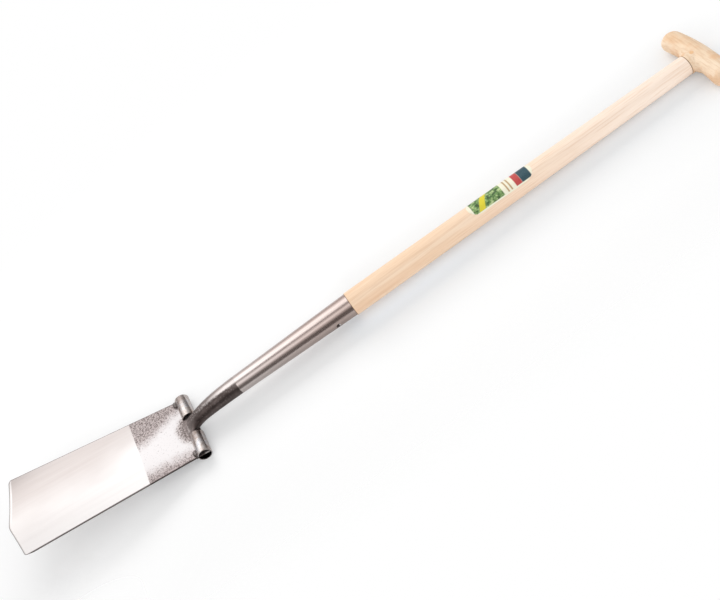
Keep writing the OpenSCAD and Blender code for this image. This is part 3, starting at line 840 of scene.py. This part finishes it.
def dowel_end_grain():
    f = Finish("dowel_end_grain", IOR=WOOD_IOR)
    pores = f.noise(f.place((1, 1, 0.05)), 1400.0, 3.0, 0.6)
    colour = f.ramp(pores, [(0.35, (0.74, 0.44, 0.23)), (0.65, (0.88, 0.58, 0.335))])
    return f.wear(colour, f.span(pores, 0.5, 0.65), pores, depth=0.0001, strength=0.3)


def printed_label_paper():
    """Plain print: a leafy green field with a yellow bar, then thin, red and dark bars, on cream paper."""
    f = Finish("printed_label_paper", IOR=PAPER_IOR)
    along, across, _ = f.parts(f.place(on="UV"))
    leaves = f.noise(f.place((17, 6, 1), on="UV"), 1.0, 3.0, 0.6)
    fibres = f.noise(f.place((60, 20, 1), on="UV"), 1.0, 3.0)
    dots = f.noise(f.place((420, 130, 1), on="UV"), 1.0, 2.0, 0.6)
    paper = f.ramp(fibres, [(0.3, (0.83, 0.80, 0.62)), (0.7, (0.90, 0.87, 0.72))])
    meadow = f.ramp(leaves, [
        (0.36, (0.022, 0.055, 0.014)), (0.5, (0.12, 0.26, 0.065)), (0.64, (0.48, 0.58, 0.28))])
    inside = f.rise(f.calc("ABSOLUTE", f.less(across, 0.5)), 0.44, 0.42)
    soft = 0.008

    def printed(colour, tone, value, low, high):
        """Prints a bar from low to high, inside the paper's margins."""
        bar = f.times(f.rise(value, low - soft, low + soft), f.rise(value, high + soft, high - soft))
        return f.tint(colour, tone, f.times(bar, inside))

    colour = printed(paper, meadow, along, 0.05, 0.52)
    colour = printed(colour, rgb(0.70, 0.60, 0.02), f.times(across, 0.16, plus=along), 0.27, 0.36)
    for low, high, tone in ((0.58, 0.60, rgb(0.45, 0.29, 0.13)), (0.63, 0.65, rgb(0.45, 0.29, 0.13)),
                            (0.71, 0.80, rgb(0.50, 0.05, 0.05)), (0.80, 0.95, rgb(0.010, 0.060, 0.085))):
        colour = printed(colour, tone, along, low, high)
    colour = f.tint(colour, paper, f.rise(dots, 0.45, 0.75), limit=0.12)
    return f.wear(colour, f.span(leaves, 0.32, 0.42), leaves, depth=0.00002, strength=0.1)


# Room

def pale_floor():
    """A white floor that runs out into the white background and keeps the spade's shadow, with painted shadow
    beside the wood and part of the blade's shadow faded out beside its point.
    """
    half = 4.0
    mesh = bpy.data.meshes.new("floor")
    corners = [(-half, -half, 0), (half, -half, 0), (half, half, 0), (-half, half, 0)]
    mesh.from_pydata(corners, [], [(0, 1, 2, 3)])
    floor = bpy.data.objects.new("floor", mesh)
    bpy.context.collection.objects.link(floor)
    f = Finish("pale_floor", Roughness=0.9, Specular_IOR_Level=0.0)
    path = f.add("LightPath").node.outputs
    seen, mirrored = path["Is Camera Ray"], path["Is Glossy Ray"]
    white = f.ramp(f.noise(f.place(), 3.0), [(0, (0.93, 0.93, 0.935)), (1, (0.95, 0.95, 0.955))])
    white = f.tint(white, rgb(0.68, 0.665, 0.66), mirrored)
    x, y, _ = f.parts(f.place((0.62, 1, 1)))
    # Painted shadow: less white beside the wood; and where it is in shadow, a painted cool tint against the
    # wood's warm glow
    along, _ = f.from_axis(0)
    woodward = f.times(f.rise(along, -0.05, 0.03), f.rise(along, 0.76, 0.60))
    painted_shadow_beside_wood = f.times(woodward, f.rise(f.calc("ABSOLUTE", y), 0.15, 0.03))
    grey = f.mix(painted_shadow_beside_wood, rgb(0.708, 0.70, 0.694), rgb(0.632, 0.632, 0.632))
    in_shadow = f.times(f.rise(y, 0.02, 0.0), f.rise(y, -0.065, -0.015))
    painted_cool_tint = f.mix(f.rise(along, 0.10, 0.34), rgb(0.66, 0.72, 0.785), rgb(0.618, 0.636, 0.654))
    grey = f.tint(grey, painted_cool_tint, f.times(woodward, in_shadow))
    put(f.tree, f.shader.inputs["Base Color"], f.mix(seen, white, grey))
    glow = f.add("Emission", {"Color": rgb(0.93, 0.965, 0.99), "Strength": f.times(seen, 0.25)})
    lit = f.add("AddShader", {0: f.shader.outputs[0], 1: glow})
    # It runs out all round and sooner in front; beside the blade's point it runs out early, painted light that
    # fades part of the blade's shadow
    shadow_fade_beside_point = f.times(f.rise(y, -0.06, -0.17), f.rise(x, -0.19, -0.36))
    run_out = f.most(f.most(f.rise(f.reach(x, y), 0.42, 0.75), shadow_fade_beside_point), f.rise(y, -0.14, -0.32))
    edge = f.times(f.rise(y, -0.07, -0.17), mirrored)
    gone = f.most(f.times(run_out, seen), edge)
    shown = f.add("MixShader", {0: gone, 1: lit, 2: f.add("BsdfTransparent")})
    put(f.tree, f.tree.nodes["Material Output"].inputs["Surface"], shown)
    mesh.materials.append(f.material)


def greys(stops, warmth=0.0):
    """Stops of a colour ramp in shades of grey, warmer the darker they are."""
    shades = []
    for spot, value in stops:
        warm = warmth * (1 - value)
        shades.append((spot, (value, value * (1 - warm), value * (1 - 1.3 * warm))))
    return shades


def softbox():
    """One large lamp beyond the spade, for its shadow."""
    lamp = bpy.data.lights.new("softbox", "AREA")
    lamp.shape, lamp.size, lamp.size_y, lamp.energy = "RECTANGLE", 1.6, 0.8, 16.0
    box = bpy.data.objects.new("softbox", lamp)
    spot = Vector((0.05, 1.3, 1.0))
    box.location, box.rotation_euler = spot, spot.to_track_quat("Z", "Y").to_euler()
    box.visible_camera = box.visible_glossy = False
    bpy.context.collection.objects.link(box)


def white_room():
    """A white room that is brighter in front, with long soft strips in it for the steel to mirror."""
    world = bpy.data.worlds.new("white_room")
    bpy.context.scene.world = world
    world.use_nodes = True
    room = Shading(world.node_tree)
    x, y, z = room.parts(room.add("TexCoord", out="Generated"))
    path = room.add("LightPath").node.outputs
    mirrored = room.most(path["Is Glossy Ray"], path["Is Transmission Ray"])
    # The strips by their angle from overhead, in degrees, and how they fade towards their ends
    turn = room.calc("ARCTAN2", room.times(y, -1.0), z)
    strips = room.ramp(room.within(turn, -math.pi, math.pi), greys([
        ((angle + 180) / 360, value) for angle, value in (
            (-90, 0.32), (-66, 0.38), (-52, 0.58), (-38, 1.0), (-6, 1.0), (3, 0.26), (18, 0.21), (27, 0.68),
            (42, 0.68), (58, 0.30), (70, 0.09), (110, 0.07))], warmth=0.14))
    ends = room.ramp(room.within(x, -1.0, 1.0), greys([
        ((spot + 1) / 2, value) for spot, value in (
            (-0.9, 0.40), (-0.5, 0.75), (-0.28, 1.0), (0.08, 1.0), (0.35, 0.5), (0.75, 0.25))]))
    fill = room.ramp(room.within(y, -1.0, 1.0), greys([(0.0, 1.0), (0.5, 0.70), (1.0, 0.30)]))

    def lit(colour, strength):
        return room.add("VectorMath", {0: colour, "Scale": strength}, operation="SCALE")
    faded = room.add("VectorMath", {0: strips, 1: ends}, operation="MULTIPLY")
    light = room.mix(mirrored, lit(fill, 1.22), lit(faded, 1.75))
    tone = room.mix(path["Is Camera Ray"], light, rgb(1, 1, 1))
    put(room.tree, room.tree.nodes["Background"].inputs["Color"], tone)


def photo_camera():
    """The photograph's own view, fitted to the spade's outline for an image of 720 by 600."""
    azimuth, elevation, roll = math.radians(1.2), math.radians(47.14), math.radians(36.35)
    aim, distance = Vector((14.52, -3.82, 0)), 1387.0
    back = Vector((math.sin(azimuth) * math.cos(elevation), -math.cos(azimuth) * math.cos(elevation),
                   math.sin(elevation)))
    level = Vector((math.cos(azimuth), math.sin(azimuth), 0))
    upright = back.cross(level)
    right = math.cos(roll) * level - math.sin(roll) * upright
    up = math.sin(roll) * level + math.cos(roll) * upright
    turn = LAID_MM.to_3x3() @ Matrix((right, up, back)).transposed()
    data = bpy.data.cameras.new("camera")
    data.sensor_fit, data.sensor_width, data.lens = "HORIZONTAL", 36.0, 47.5
    camera = bpy.data.objects.new("camera", data)
    camera.matrix_world = Matrix.Translation(LAID @ (aim + back * distance)) @ turn.to_4x4()
    bpy.context.collection.objects.link(camera)
    bpy.context.scene.camera = camera


photo_camera()
pale_floor()
softbox()
white_room()
bpy.context.scene.view_settings.view_transform = "Standard"

hickory, tube_steel, welds = hickory_shaft_wood(), drawn_tube_steel(), weld_metal()
stands_for(blade_plate(), "blade", ground_and_forged_steel())
stands_for(neck_bar(), "neck", forged_neck_steel())
stands_for(socket_cone(), "socket", turned_socket_steel())
bead, bead_ids = weld_tree()
for hand, side, seed in (("left", 1, 3), ("right", -1, 11)):
    stands_for(step_tube(f"open_tube_{hand}", side), f"step_tube_{hand}", tube_steel)
    stands_for(step_welds(f"weld_lumps_{hand}", side, bead, bead_ids, welds, seed),
               f"step_welds_{hand}", welds)
stands_for(shaft_pole(hickory), "shaft", hickory)
stands_for(cross_rivet(), "socket_rivet", rivet_steel())
stands_for(grip_arms(), "grip", grip_hardwood())
stands_for(dowel_pin(), "grip_dowel", dowel_end_grain())
stands_for(paper_label(), "label", printed_label_paper())
